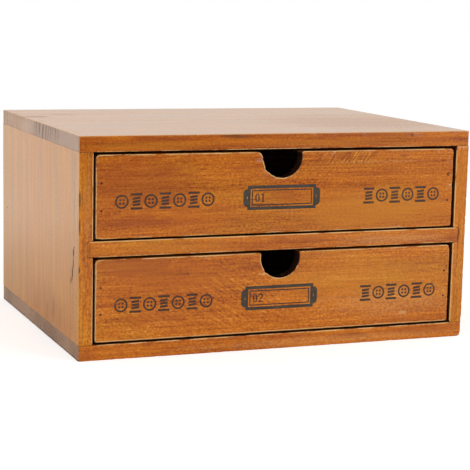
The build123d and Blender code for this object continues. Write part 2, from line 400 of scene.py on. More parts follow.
def pine(name, along, seed, pith, tone, palette=STAIN, ends=END_STAIN, ring=4.2, marks=(),
         weaves=(), inside=(), notch=None, hue=0.5, streaky=0.6, fine=1.2):
    """Satin-varnished pine. along is the grain's axis, pith the middle of the trunk in millimetres
    on the two axes across it, tone how pale it is on the whole, inside the planes that face into
    the case, which a painted shade darkens, hue how red (0) or golden (1) the stain is, streaky how
    strong its long streaks are, and fine how strong its fibres and specks are."""
    s = Shader(name)
    grain, moved = along_grain(s, along, seed)
    rings = growth_rings(s, grain, moved, pith, ring)
    band = s.drawn(moved, (2, 80, 80), 3, 0.6)
    streak = s.drawn(moved, (9, 230, 230), 3, 0.6)
    fibre = s.drawn(moved, (26, 850, 850), 3, 0.6)
    speck = s.drawn(moved, (520, 850, 850), 2, 0.6)
    pores = s.smooth(s.drawn(moved, (110, 1600, 1600), 2), 0.68, 0.8)
    cloud = s.drawn(moved, (9, 24, 24), 4, 0.6, 0.5)
    ragged = s.drawn(moved, (70, 330, 330), 3, 0.65)
    # the last term takes off what the noises add on the whole
    level = s.total((cloud, 0.42), (band, 0.7 * streaky), (streak, 0.55 * streaky), (fibre, 0.62 * fine),
                    (speck, 0.8 * fine), (ragged, 0.25), (rings, -0.15), (pores, -0.14),
                    (1.0, tone - 0.315 - 0.625 * streaky - 0.71 * fine))
    level = add_weaves(s, level, weaves, ragged)
    colour = s.ramp(level, palette)

    # the stain is redder here and more golden there
    warmth = s.drawn(moved, (11, 30, 30), 3, 0.6)
    warmth = s.smooth(warmth, 0.68 - 0.36 * hue, 0.92 - 0.36 * hue)
    colour = s.mix(1.0, colour, s.mix(warmth, (1.01, 0.9, 0.85), (1.0, 1.1, 1.0)), "MULTIPLY")

    # end grain drinks more stain and shows its rings as dark lines
    end = facing(s, along, 0.6, 0.9)
    end_level = s.total((rings, -0.46), (speck, 0.3), (streak, 0.35), (cloud, 0.3), (1.0, 0.05))
    colour = s.mix(end, colour, s.ramp(end_level, ends))
    colour, dull = add_marks(s, colour, marks, ragged, speck)

    # painted shade: the faces inside the case are darkened as if in shade
    for axis_name, value in inside:
        colour = s.mix(near_plane(s, axis_name, value), colour, PAINTED_RECESS_SHADE)
    # the notch's bored wall is darkened: end grain stained darker, and painted shade where the light
    # reaches it less
    if notch:
        aside = s.vector("MULTIPLY", s.place, (1.0, 0.0, 1.0))
        reach = s.vector("LENGTH", s.vector("SUBTRACT", aside, (0.0, 0.0, notch.centre * MM)))
        wall = s.smooth(reach, (NOTCH_RADIUS + 0.55) * MM, (NOTCH_RADIUS + 0.2) * MM)
        colour = s.mix(wall, colour, DARK_STAIN_AND_SHADE)

    # the stain is rubbed off the arrises
    rub = s.add("Attribute", attribute_name="worn").outputs["Fac"]
    rub = s.smooth(s.total((rub, 1.0), (ragged, 1.3), (s.noise(moved, 700, 2), 0.5)), 1.15, 1.55)
    colour = s.mix(rub, colour, WORN_PALE)

    s.set(Base_Color=colour, IOR=1.42)
    lines = s.math("MULTIPLY", end, rings)
    s.set(Roughness=s.total((ragged, 0.06), (band, 0.16), (rub, 0.12), (end, 0.05), (lines, 0.3),
                            (dull, 0.7), (1.0, 0.13)))
    s.bump(s.total((fibre, 0.5), (speck, 0.4), (pores, -0.6), (rings, 0.2)), 0.16, 0.22 * MM)
    return s.material


def plywood(name, across, middle, seed):
    """Thin three-ply: pale rotary-cut faces, and on the edges a darker middle ply. across is the
    axis of its thickness, and middle the middle ply's place on it in millimetres."""
    s = Shader(name)
    grain, moved = along_grain(s, "X", seed)
    waves = s.drawn(moved, (5, 34, 34), 3, 0.5, 1.2)
    lines = s.ramp(s.math("FRACT", s.math("MULTIPLY", waves, 9.0)), RING)
    fibre = s.drawn(moved, (40, 900, 900), 3, 0.6)
    colour = s.ramp(s.total((waves, 0.5), (lines, -0.22), (fibre, 0.45), (1.0, 0.1)), PLY_FACE)
    edge = facing(s, across, 0.6, 0.3)
    depth = s.split(s.place)[across]
    ply = s.math("ABSOLUTE", s.math("SUBTRACT", depth, middle * MM))
    ply = s.math("MULTIPLY", edge, s.smooth(ply, 0.62 * MM, 0.48 * MM))
    colour = s.mix(ply, colour, PLY_CORE)
    s.set(Base_Color=colour, IOR=1.4, Roughness=s.total((fibre, 0.25), (1.0, 0.5)))
    s.bump(s.total((fibre, 0.7), (lines, 0.2), (ply, -0.4)), 0.25, 0.2 * MM)
    return s.material


def brad_steel():
    """Dull steel heads, darkened by the stain that ran over them."""
    s = Shader("brad_steel")
    spots = s.noise(s.place, 2600, 3, 0.6)
    s.set(Base_Color=s.ramp(spots, STEEL), Metallic=0.6, Roughness=s.total((spots, 0.35), (1.0, 0.45)))
    s.bump(spots, 0.3, 0.05 * MM)
    return s.material


def printed_ink(name, dark, pale):
    """Flat stamped ink, thinner in places, so that the grain under it shows a little."""
    s = Shader(name)
    streaks = s.drawn(s.place, (60, 500, 700), 3, 0.6)
    cloud = s.noise(s.place, 120, 3, 0.6)
    thin = s.total((streaks, 0.9), (cloud, 0.9), (1.0, -0.42))
    s.set(Base_Color=s.ramp(thin, [(0.25, dark), (0.62, pale), (0.92, INK_GONE)]))
    s.set(IOR=1.4, Roughness=s.total((streaks, 0.25), (1.0, 0.45)))
    s.bump(streaks, 0.2, 0.1 * MM)
    return s.material


# ---- boards in mesh code

# Thickness axis of a board: the indices of its two face axes u and v, then of the thickness w
FACE_AXES = {"X": (1, 2, 0), "Y": (0, 2, 1), "Z": (0, 1, 2)}
RING_STEPS = 5  # loops of points round each worn edge
MIN_CORNER = 0.4  # the least rounding of a board's corners
RUB_BAND = 0.3  # how far the rubbed wood reaches past a worn edge
MAX_RUB = 1.4
FACE_STEP = 6.0  # spacing of a face's inner points
ROW_STEP = 2.5  # spacing of the loops across a board's thickness
SOFT_CORNER = 0.45  # how fast a worn edge narrows towards a crisp one
EDGE_WAVE = 30  # a worn edge's width wanders in waves this long
EDGE_WANDER = (0.34, 0.22)  # by these shares in long waves, and in ones a fifth as long
NOTCH_REACH = 3.0  # the notch's own edge rules this far round it
FAR = 50.0
DENT_RINGS = ((0.35, 6), (0.7, 10), (1.1, 12))  # points round a dent: share of its radius, number


def ripple(point, wave, seed):
    """Smooth noise from about -1 to 1, in waves of about that length."""
    shift = Vector((seed * 7.13, seed * 3.71, seed * 5.37))
    return noise.noise(Vector(point) / wave + shift)


def arc(centre, radius, start, end, step):
    count = max(3, ceil(abs(end - start) * radius / step) + 1)
    return [(centre[0] + radius * cos(a), centre[1] + radius * sin(a))
            for a in np.linspace(start, end, count)]


def notch_run(notch, top, step):
    """The notch's outline from right to left, with rounded shoulders where it meets the top."""
    centre, radius = notch.centre, NOTCH_RADIUS
    asides, tilts = [], []
    for shoulder in notch.shoulders:
        rise = top - centre - shoulder
        asides.append(sqrt((radius + shoulder) ** 2 - rise ** 2))
        tilts.append(atan2(rise, asides[-1]))
    left_round, right_round = notch.shoulders
    right = arc((asides[1], top - right_round), right_round, QUARTER, pi + tilts[1], step / 2)
    left = arc((-asides[0], top - left_round), left_round, -tilts[0], QUARTER, step / 2)
    bowl = []
    for u, v in arc((0, centre), radius, tilts[1], -pi - tilts[0], step / 2)[1:-1]:
        rough = radius + notch.ragged * abs(ripple((u, v, 0), 2.2, notch.seed))
        scale = rough / hypot(u, v - centre)
        bowl.append((u * scale, centre + (v - centre) * scale))
    return right + bowl + left


def outline(low, high, corners, step, notch=None):
    """Points round a board's face, with rounded corners: lower left, then anticlockwise."""
    (u0, v0), (u1, v1) = low, high
    a, b, c, d = corners
    points = arc((u0 + a, v0 + a), a, 2 * QUARTER, 3 * QUARTER, step)
    points += arc((u1 - b, v0 + b), b, 3 * QUARTER, 4 * QUARTER, step)
    points += arc((u1 - c, v1 - c), c, 0, QUARTER, step)
    if notch:
        points += notch_run(notch, v1, step)
    points += arc((u0 + d, v1 - d), d, QUARTER, 2 * QUARTER, step)
    filled = []
    for start, end in zip(points, points[1:] + points[:1]):
        pieces = max(1, round(dist(start, end) / step))
        for i in range(pieces):
            filled.append([a + (b - a) * (i / pieces) for a, b in zip(start, end)])
    return np.array(filled)


def inward(loop):
    """Unit vectors from each point of an anticlockwise loop towards its inside."""
    along = np.roll(loop, -1, 0) - np.roll(loop, 1, 0)
    turned = np.stack([-along[:, 1], along[:, 0]], 1)
    return turned / np.linalg.norm(turned, axis=1)[:, None]


def edge_wear(loop, low, high, edges, notch, seed):
    """The worn edge's radius, band of rubbed wood and paleness at each point. edges are those at
    low u, high u, low v and high v, and a notch has its own. Each wanders, and a wide one narrows
    towards a crisp one."""
    u, v = loop[:, 0], loop[:, 1]
    distances = [u - low[0], high[0] - u, v - low[1], high[1] - v]
    room = 0.95 * np.maximum(MIN_CORNER, np.sort(distances, axis=0)[1])
    radii = [edge.radius for edge in edges]
    rubs = [np.where((place > edge.start) & (place < edge.end), edge.rub, 0.0)
            for edge, place in zip(edges, (v, v, u, u))]
    if notch:
        rim = np.hypot(u, v - notch.centre) - NOTCH_RADIUS
        distances.append(np.where(rim < NOTCH_REACH, np.abs(rim), FAR))
        radii.append(NOTCH_ARRIS)
        rubs.append(NOTCH_RUB * np.clip(0.65 - 0.45 * u / NOTCH_RADIUS, 0.1, 1))
    reaches = []
    for distance, radius in zip(distances, radii):
        worn = np.array([1 + EDGE_WANDER[0] * ripple((*p, radius), EDGE_WAVE, seed)
                         + EDGE_WANDER[1] * ripple((*p, radius), EDGE_WAVE / 5, seed + 3) for p in loop])
        reaches.append(radius * worn + SOFT_CORNER * np.maximum(distance, 0))
    closest = np.argmin(reaches, axis=0)
    result = np.minimum(np.min(reaches, axis=0), 0.8 * room)
    band = np.clip(room - result, 0.03, RUB_BAND)
    return result, band, np.choose(closest, rubs)


def fill_face(loop, notch, dents):
    """A triangulated face inside the loop: its points, and its triangles by index into them."""
    count = len(loop)
    low, high = loop.min(0), loop.max(0)
    tree = kdtree.KDTree(count)
    for i, (u, v) in enumerate(loop):
        tree.insert((u, v, 0), i)
    tree.balance()
    columns = np.linspace(low[0], high[0], max(2, round((high[0] - low[0]) / FACE_STEP)) + 1)
    rows = np.linspace(low[1], high[1], max(2, round((high[1] - low[1]) / FACE_STEP)) + 1)
    inner = [(u, v) for u in columns[1:-1] for v in rows[1:-1]]
    for u, v, radius in dents:
        inner = [p for p in inner if dist(p, (u, v)) > radius * 1.25] + [(u, v)]
        for share, number in DENT_RINGS:
            inner += oval((u, v), radius * share, radius * share, number)
    margin = FACE_STEP * 0.6
    kept = []
    for u, v in inner:
        in_notch = notch and hypot(u, v - notch.centre) < NOTCH_RADIUS + 2
        if tree.find((u, v, 0))[2] > margin and not in_notch:
            kept.append((u, v))
    points = [Vector(p) for p in loop] + [Vector(p) for p in kept]
    ring = [(i, (i + 1) % count) for i in range(count)]
    found = delaunay_2d_cdt(points, ring, [list(range(count))], 1, 1e-6)
    source = [origins[0] for origins in found[3]]
    return np.array(kept).reshape(-1, 2), [[source[i] for i in face] for face in found[2]]


def board_mesh(name, axis, low, high, seed, low_edges, high_edges, corners=(MIN_CORNER,) * 4,
               step=2.0, dip=0.06, notch=None, nicks=(), dents=()):
    """A board over the box from low to high: flat faces that dip a little, worn edges, nicks."""
    iu, iv, iw = FACE_AXES[axis]
    face_low, face_high = (low[iu], low[iv]), (high[iu], high[iv])
    rim = outline(face_low, face_high, corners, step, notch)
    into = inward(rim)
    count = len(rim)
    loops, wear = [], []

    def add_loop(inset, w, worn):
        points = np.zeros((count, 3))
        points[:, [iu, iv]] = rim + into * np.reshape(inset, (-1, 1))
        points[:, iw] = w
        loops.append(points)
        wear.append(worn)

    sides = [edge_wear(rim, face_low, face_high, edges, notch, seed + k)
             for k, edges in enumerate((low_edges, high_edges))]
    angles = np.linspace(QUARTER, 0, RING_STEPS)
    still = np.zeros(count)

    def add_arris(k, plane, sign):
        """The loops round one worn edge, from the face to the side, or back."""
        radius, band, rub = sides[k]
        uneven = np.array([ripple((*p, k), 14, seed + 11) for p in rim])
        worn = np.clip(rub * (1 + 0.9 * uneven), 0, 1.2)
        steps = [(radius + band, still, still)]
        for angle in angles:
            faded = 0.75 if angle in (angles[0], angles[-1]) else 1.0
            steps.append((radius * (1 - cos(angle)), radius * (1 - sin(angle)), worn * faded))
        steps.append((still, radius + band, still))
        for inset, depth, amount in steps if sign > 0 else steps[::-1]:
            add_loop(inset, plane + sign * depth, amount)

    add_arris(0, low[iw], 1)
    bottom, top = low[iw] + sum(sides[0][:2]), high[iw] - sum(sides[1][:2])
    rows = max(1, round((high[iw] - low[iw]) / ROW_STEP))
    for i in range(1, rows):
        dips = [dip * (0.5 + 0.5 * ripple((*p, i * ROW_STEP), 22, seed + 5)) for p in rim]
        add_loop(np.maximum(dips, 0), bottom + (top - bottom) * i / rows, still)
    add_arris(1, high[iw], -1)

    points = list(np.concatenate(loops))
    worn = list(np.concatenate(wear))
    faces = []
    for k in range(len(loops) - 1):
        for i in range(count):
            j = (i + 1) % count
            faces.append((k * count + i, k * count + j, (k + 1) * count + j, (k + 1) * count + i))
    dented = [(place[iu], place[iv], radius) for place, radius, _, _ in dents]
    for loop_index, w, sign in ((0, low[iw], 1), (len(loops) - 1, high[iw], -1)):
        inner, triangles = fill_face(loops[loop_index][:, [iu, iv]], notch, dented)
        first = len(points)
        for u, v in inner:
            point = np.zeros(3)
            point[[iu, iv]] = u, v
            point[iw] = w + sign * dip * (0.5 + 0.5 * ripple((u, v, w), 45, seed + 7))
            points.append(point)
            worn.append(0.0)
        for triangle in triangles:
            faces.append([loop_index * count + i if i < count else first + i - count
                          for i in triangle])
    points, worn = np.array(points), np.array(worn)
    press(points, worn, [*nicks, *dents], low, high)

    mesh = bpy.data.meshes.new(name)
    mesh.from_pydata(points * MM, [], faces)
    attribute = mesh.attributes.new("worn", "FLOAT", "POINT")
    attribute.data.foreach_set("value", worn.astype(np.float32))
    outwards(mesh)
    return mesh


def outwards(mesh):
    """Turns the closed mesh's faces to look out."""
    shape = bmesh.new()
    shape.from_mesh(mesh)
    bmesh.ops.recalc_face_normals(shape, faces=shape.faces)
    shape.to_mesh(mesh)
    shape.free()


def press(points, worn, dents, low, high):
    """Presses dents into the board, each (place, radius, push vector, paleness)."""
    for place, radius, push, pale in dents:
        distance = np.linalg.norm(points - np.array(place), axis=1)
        share = np.clip(1 - distance / radius, 0, 1)
        share = share * share * (3 - 2 * share)
        points += share[:, None] * np.array(push)
        worn += share * pale
    np.clip(points, low, high, out=points)
    np.clip(worn, 0, MAX_RUB, out=worn)


# ---- holes, housings and grooves

HOLE_FIT = 0.05
HOLE_SIDES = 20
HOLE_OPEN = 1.0  # a hole runs this far past the brad's ends, to open at the surface


def brad_boxes(node):
    """The lowest and highest corner of each brad of a CAD node, in millimetres."""
    shells = bmesh.new()
    shells.from_mesh(frame["nodes"][node].data)
    bmesh.ops.remove_doubles(shells, verts=shells.verts, dist=1e-6)
    left, boxes = set(shells.verts), []
    while left:
        reached, edge = set(), [left.pop()]
        while edge:
            vertex = edge.pop()
            reached.add(vertex)
            for link in vertex.link_edges:
                other = link.other_vert(vertex)
                if other in left:
                    left.discard(other)
                    edge.append(other)
        places = np.array([v.co for v in reached]) / MM
        boxes.append((places.min(0), places.max(0)))
    shells.free()
    return boxes


def cut_away(mesh, cutters):
    """The mesh with each cutter mesh taken out of it."""
    piece = add_object("cutting", mesh)
    tools = []
    for cutter in cutters:
        tool = add_object("tool", cutter)
        modifier = piece.modifiers.new("cut", "BOOLEAN")
        modifier.object, modifier.solver = tool, "EXACT"
        tools.append(tool)
    known = {tuple(round(c * 1e6) for c in v.co): d.value
             for v, d in zip(mesh.vertices, mesh.attributes["worn"].data)}
    shaped = bpy.data.meshes.new_from_object(piece.evaluated_get(bpy.context.evaluated_depsgraph_get()))
    values = [known.get(tuple(round(c * 1e6) for c in v.co), 0.0) for v in shaped.vertices]
    shaped.attributes["worn"].data.foreach_set("value", values)
    for item in [piece] + tools:
        data = item.data
        bpy.data.objects.remove(item)
        bpy.data.meshes.remove(data)
    return shaped


def cutter_mesh(shape):
    mesh = bpy.data.meshes.new("cutter")
    shape.to_mesh(mesh)
    shape.free()
    return mesh


def box_cutter(low, high, grow):
    shape = bmesh.new()
    bmesh.ops.create_cube(shape, size=1.0)
    low, high = (low - grow) * MM, (high + grow) * MM
    for vertex in shape.verts:
        vertex.co = [low[i] if vertex.co[i] < 0 else high[i] for i in range(3)]
    return cutter_mesh(shape)


def brad_cutter(boxes):
    """Round holes for brads."""
    shape = bmesh.new()
    for low, high in boxes:
        size, middle = high - low, (low + high) / 2
        axis = int(np.argmax(size))
        radius = (min(size) / 2 + HOLE_FIT) * MM
        turn = Vector([float(i == axis) for i in range(3)]).to_track_quat("Z", "Y").to_matrix().to_4x4()
        place = Matrix.Translation(Vector(middle * MM)) @ turn
        bmesh.ops.create_cone(shape, cap_ends=True, segments=HOLE_SIDES, radius1=radius, radius2=radius,
                              depth=(size[axis] + 2 * HOLE_OPEN) * MM, matrix=place)
    return cutter_mesh(shape)


def apart(box_a, box_b):
    return any(box_a[0][i] > box_b[1][i] or box_b[0][i] > box_a[1][i] for i in range(3))


# ---- the pieces

SHADE_ANGLE = 38  # faces that meet at more than this many degrees keep a hard edge


def millimetres(corners):
    return [np.array(corner) / MM for corner in corners]


def add_piece(name, mesh, node, body, material):
    mesh.materials.clear()
    mesh.materials.append(material)
    mesh.shade_smooth()
    mesh.set_sharp_from_angle(angle=radians(SHADE_ANGLE))
    piece = add_object(name, mesh)
    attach(piece, body)
    if node:
        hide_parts(node)


def add_board(node, axis, material, seed, low_edges, high_edges, cut_by=(), **shape):
    """A worn board in place of a CAD node, cut for its neighbours and for the brads in it."""
    body = frame["nodes"][node]["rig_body"]
    low, high = millimetres(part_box(node))
    mesh = board_mesh(node, axis, low, high, seed, low_edges, high_edges, **shape)
    cutters = [box_cutter(*millimetres(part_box(other)), grow) for other, grow in cut_by]
    holes = [box for brads in BRADS if frame["nodes"][brads]["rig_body"] == body
             for box in brad_boxes(brads) if not apart(box, (low, high))]
    if holes:
        cutters.append(brad_cutter(holes))
    if cutters:
        mesh = cut_away(mesh, cutters)
    add_piece(f"{node}_board", mesh, node, body, material)


SLOTS = {part["node"]: part["material_slot"] for part in frame["record"]["subparts"]}
BRADS = [node for node, slot in SLOTS.items() if slot == "brad_steel"]

# A board's edge: the radius it is worn to, how much of its stain is rubbed off, and the part of its
# length that isn't against another board
Edge = namedtuple("Edge", "radius rub start end", defaults=(-1e3, 1e3))
CRISP = Edge(0.22, 0.0)
SHARP = Edge(0.3, 0.2)
EASED = Edge(0.5, 0.5)
SOFT = Edge(0.35, 0.0)
OUTER = Edge(0.45, 0.05)
RUBBED = Edge(0.5, 0.9)


NICK_RADII = (0.8, 2.2)


def random_nicks(seed, count, start, end, push, depth=(0.15, 0.5), pale=0.5):
    """Small dents scattered along the edge from start to end, pressed in along push."""
    chance = random.Random(seed)
    nicks = []
    for _ in range(count):
        share = chance.random()
        place = [a + (b - a) * share for a, b in zip(start, end)]
        deep = chance.uniform(*depth)
        push_in = [deep * i for i in push]
        nicks.append((place, chance.uniform(*NICK_RADII), push_in, pale * chance.random()))
    return nicks


LOW, HIGH = millimetres(cad_box)
X0, Y0, Z0 = LOW
X1, Y1, Z1 = HIGH
UNDER_TOP = millimetres(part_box("top_panel"))[0][2]
FLOOR_TOP = millimetres(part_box("bottom_panel"))[1][2]
SHELF_LOW, SHELF_HIGH = (corner[2] for corner in millimetres(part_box("divider_shelf")))
INNER_LEFT = millimetres(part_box("left_side_panel"))[1][0]
INNER_RIGHT = millimetres(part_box("right_side_panel"))[0][0]
OPENING = EASED._replace(start=INNER_LEFT, end=INNER_RIGHT)  # an edge along the case's opening
REBATE = ("back_panel", 0.2)  # the back panel's fit in the case
HOUSING = ("divider_shelf", 0.22)  # the shelf's fit in the sides
GROOVE_FIT = 0.2  # round a drawer's bottom in its groove


def front_marks(rows, deep=3, face=Y0, middle=0.0):
    """Marks on a front: rows of colour, X, height over the middle, half width and half height, then
    a mark's other values."""
    return [Mark(colour, (x, face, middle + up), (wide, deep, tall), *rest)
            for colour, x, up, wide, tall, *rest in rows]


def left_marks(rows, deep=3):
    """The same for the left face, with Y in the place of X."""
    return [Mark(colour, (X0, y, z), (deep, wide, tall), *rest) for colour, y, z, wide, tall, *rest in rows]


def top_board():
    marks = front_marks([
        (DARK, -37, 154.5, 11, 2.2, 0.7, 0.4), (REDDISH, -92, 153, 26, 2.6, 0.55, 0.3),
        (REDDISH, 72, 154, 42, 1.8, 0.45, 0.5),
    ])
    marks += front_marks([(DARK, 102, 154, 1.6, 1.6, 0.55)], 2)
    marks += front_marks([
        (REDDISH, -142, 154.5, 12, 2.0, 0.5, 0.4), (GOLD, 30, 149, 60, 3, 0.35),
        (GOLD, -95, 149, 55, 3.5, 0.4),
    ])
    marks += [
        # painted sheen: the whole top face is made paler, as the white surroundings' reflection would
        Mark(PAINTED_SHEEN, (0, 0, Z1), (900, 900, 0.5), 0.5),
        Mark(END_PALE, (X0, 72, 150), (1.5, 62, 12), 0.65),
        Mark(UMBER, (-140, 45, Z1), (12, 8, 3), 0.75, 0.3, 0.3),
        Mark(DULL_UMBER, (-114, 63, Z1), (12, 6, 3), 0.5, 0.4, 0.2),
        Mark(TAN, (105, -30, Z1), (85, 75, 3), 0.45, 0.3, 0.2),
    ]
    material = pine("top_pine", "X", 1.3, (-250, 105), 0.52, marks=marks, hue=0.42, ring=7.5,
                    inside=[("Z", UNDER_TOP)], streaky=1.2)
    nicks = random_nicks(3, 18, (X0, Y0, Z1), (X1, Y0, Z1), (0, 0.7, -0.7), pale=0.3)
    nicks += random_nicks(4, 12, (X0, Y0, Z1), (X0, Y1, Z1), (0.7, 0, -0.7), pale=0.3)
    add_board("top_panel", "Z", material, 1, (CRISP, CRISP, OPENING, SHARP), (SOFT, SOFT, OUTER, SOFT),
              [REBATE], corners=(1.2, 1.2, 1.4, 1.4), nicks=nicks)


def bottom_board():
    marks = front_marks([
        (REDDISH, 56, 6, 20, 3.0, 0.5, 0.4), (REDDISH, 6, 8, 34, 2.0, 0.3, 0.5),
        (DARK, 62, 7, 9, 1.0, 0.4, 0.4), (REDDISH, 112, 7, 40, 3.5, 0.4, 0.5),
        (PALE, 40, 4, 120, 3.5, 0.24, 0.4), (REDDISH, -146, 4, 7, 4, 0.45, 0.3),
    ])
    # painted contact shadow: a dark line along the lower edge of the left end, where the box meets the
    # floor
    marks += left_marks([(DARK, 0, 0, 300, 1.4, 0.7, 0.2, 1.0)], 2.0)
    marks += left_marks([(SMOKY, -28, 6, 62, 12, 0.55, 0.4)], 1.5)
    material = pine("bottom_pine", "X", 2.1, (-20, -80), 0.57, marks=marks, ring=3.2,
                    inside=[("Z", FLOOR_TOP)])
    nicks = random_nicks(6, 18, LOW, (X1, Y0, Z0), (0, 0.7, 0.7), pale=0.3)
    nicks += random_nicks(7, 12, LOW, (X0, Y1, Z0), (0.7, 0, 0.7), pale=0.3)
    nicks += [((X1, Y0, Z0), 3.0, (-0.8, 0.2, 0.8), 0.2)]
    add_board("bottom_panel", "Z", material, 2, (SOFT, SOFT, OUTER, SOFT), (CRISP, CRISP, OPENING, SHARP),
              [REBATE], corners=(1.3,) * 4, nicks=nicks)


def left_side_board():
    # painted sheen: the whole left face is made paler, as the white surroundings' reflection would
    marks = [Mark(PAINTED_SHEEN, (X0, 0, 80), (0.5, 900, 900), 0.4)]
    marks += front_marks([(REDDISH, -141, 89, 2, 5, 0.6, 0.3)])
    # the rusty patch low on the face is partly painted shade: it makes the bottom of the face darker, as
    # the dimmer reflections down there would
    marks += left_marks([
        (GREYISH, -103, 118, 2.2, 34, 0.5, 0.5), (GREYISH, -99, 68, 5, 18, 0.35, 0.6),
        (PALE, -108.5, 105, 1.4, 38, 0.3), (RUSTY_SHADE, -35, 18, 75, 22, 0.38),
        (BROWN, -47, 22, 4.5, 13, 0.45), (BROWN, -66, 24, 3.0, 14, 0.35), (BROWN, -30, 20, 3, 10, 0.35),
    ])
    # a crack runs down from beside the brad, painted dark, partly as the painted shade of its groove, and
    # fainter dark streaks lie above it
    crack = [(-101.5, 74, 1.8, 3.5), (-101.5, 67, 1.3, 5.5), (-98.6, 60, 1.5, 6.0), (-95.6, 54, 1.5, 4.0)]
    marks += left_marks([(DARK_STAIN_AND_SHADE, *place, 0.95, 0.1, 1.2) for place in crack])
    streaks = [(-104, 108, 7.0), (-102.5, 122, 4.0), (-104, 137, 5.0)]
    marks += left_marks([(DARK, y, z, 0.9, tall, 0.5, 0.8, 0.6) for y, z, tall in streaks])
    marks += front_marks([(GOLD, -144, 118, 3.5, 32, 0.4), (PALE, -144, 105, 2.5, 45, 0.15, 0.5)])
    chipped = [(112, 11.0), (95, 7.0), (64, 3.0)]
    marks += front_marks([(DARK, X0 + 0.4, z, 0.9, tall, 0.85, 0.3, 1.0) for z, tall in chipped], 1.0)
    material = pine("left_side_pine", "Z", 3.7, (40, -260), 0.64, marks=marks, hue=0.74,
                    inside=[("X", INNER_LEFT)], streaky=1.3, fine=1.5)
    nicks = random_nicks(8, 14, (X0, Y0, FLOOR_TOP), (X0, Y0, UNDER_TOP), (0.7, 0.7, 0), pale=0.1)
    add_board("left_side_panel", "X", material, 3, (OUTER, EASED, CRISP, CRISP),
              (RUBBED, CRISP, CRISP, CRISP), [HOUSING, REBATE], nicks=nicks)


def right_side_board():
    marks = front_marks([(DARK, 144.6, 79, 1.0, 6, 0.75, 0.4), (GOLD, 145, 115, 4, 30, 0.4)])
    material = pine("right_side_pine", "Z", 4.9, (-60, 240), 0.68, marks=marks, hue=0.72,
                    inside=[("X", INNER_RIGHT)])
    nicks = random_nicks(9, 14, (X1, Y0, FLOOR_TOP), (X1, Y0, UNDER_TOP), (-0.7, 0.7, 0), pale=0.3)
    add_board("right_side_panel", "X", material, 4, (RUBBED, CRISP, CRISP, CRISP),
              (OUTER, EASED, CRISP, CRISP), [HOUSING, REBATE], nicks=nicks)


def shelf_board():
    marks = front_marks([
        (REDDISH, 14, 79.5, 32, 2.8, 0.4, 0.5), (PALE, 85, 77, 50, 4, 0.3, 0.4),
        (REDDISH, 140, 78, 8, 6, 0.45, 0.4), (DARK, X0 + 7.6, 78, 1.0, 6, 0.55, 0.4),
        (GOLD, -75, 77, 45, 4, 0.35),
    ])
    material = pine("shelf_pine", "X", 5.3, (20, 150), 0.6, marks=marks, hue=0.58,
                    inside=[("Z", SHELF_LOW), ("Z", SHELF_HIGH)])
    add_board("divider_shelf", "Z", material, 5, (CRISP, CRISP, EASED, CRISP),
              (CRISP, CRISP, RUBBED, CRISP))


def back_board():
    low, high = millimetres(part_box("back_panel"))
    material = plywood("back_plywood", "Y", (low[1] + high[1]) / 2, 6.1)
    add_board("back_panel", "Y", material, 6, (CRISP,) * 4, (SHARP,) * 4)


# What the wood of each drawer front is like. marks are rows for front_marks, and weaves rows of X,
# height over the middle, half width and half height, angle and strength.
Look = namedtuple("Look", "seed tone hue pith shoulders ragged chips edges weaves marks dent",
                  defaults=(None,))
UPPER_LOOK = Look(
    seed=11.0, tone=0.59, hue=0.47, pith=(-260, 130), shoulders=(5.0, 1.8), ragged=0.5, chips=11,
    edges=(Edge(0.6, 0.7), Edge(0.5, 0.3), Edge(0.6, 0.55), Edge(0.6, 0.6)),
    weaves=[(52, 25, 34, 6, 52, 1.8), (28, 10, 22, 14, 48, 0.7), (-70, 14, 50, 12, 20, 0.6)],
    marks=[
        (REDDISH, -104, 9, 50, 24, 0.5, 0.2), (REDDISH, -108, -18.5, 34, 3.2, 0.6, 0.3),
        (RUSSET, -60, -16, 60, 9, 0.35, 0.4), (GOLD, 70, -14, 75, 18, 0.6),
        (PALE, 76, 20.5, 46, 0.9, 0.22, 0.4), (REDDISH, 27, 20, 10, 7, 0.22, 0.6),
        (REDDISH, 46, 26, 10, 3.6, 0.6, 0.5), (REDDISH, 72, 25, 14, 3.0, 0.45, 1.0),
        (REDDISH, 96.5, 25, 4.0, 2.6, 0.7, 0.6), (DARK, 134.5, 11, 1.2, 0.8, 0.7),
        (REDDISH, 2, -2, 22, 4, 0.35, 0.4), (REDDISH, -30, 18, 14, 1.6, 0.45, 0.4),
        (GREYISH, 5, -14, 8, 1.6, 0.18, 0.6),
    ],
)
LOWER_LOOK = Look(
    seed=17.0, tone=0.625, hue=0.52, pith=(-290, 20), shoulders=(1.6, 1.2), ragged=0.12, chips=1,
    edges=(Edge(0.7, 0.8), Edge(0.5, 0.3), Edge(0.8, 1.3), Edge(0.6, 0.55)),
    weaves=[(-40, -4, 56, 26, -36, 1.15), (-105, -16, 32, 12, -30, 0.8)],
    marks=[
        (REDDISH, -112, 24, 36, 11, 0.62, 0.5), (DARK, -74, 16.5, 9, 1.6, 0.6, 0.3),
        (RUSSET, -78, 14, 56, 15, 0.55, 0.5), (GOLD, 60, 8, 80, 18, 0.45),
        (REDDISH, 100, -26, 30, 3.5, 0.25, 0.4), (PALE, 100, -20.5, 3.6, 1.5, 0.55),
        (PALE, 90, -12, 60, 12, 0.22, 0.3), (REDDISH, -95, -14, 34, 6, 0.3, 0.5),
        (REDDISH, 20, 25, 40, 2.0, 0.35, 0.5), (DARK, 136, 13, 1.0, 0.7, 0.6),
        (DARK, 136, -11, 1.0, 0.7, 0.6),
    ],
    dent=(100, -20.5),
)
DENT_RADIUS, DENT_DEPTH = 4.5, 0.5


def notch_chips(notch, face, count):
    """Small splinters broken out of the lower left of the notch's rim."""
    chance = random.Random(notch.seed)
    chips = []
    for _ in range(count):
        turn = radians(chance.uniform(165, 275))
        across, up = cos(turn), sin(turn)
        deep = chance.uniform(0.5, 1.1)
        place = (NOTCH_RADIUS * across, face, notch.centre + NOTCH_RADIUS * up)
        chips.append((place, chance.uniform(1.0, 2.0), (deep * across, 0.6 * deep, deep * up), 0.8))
    return chips


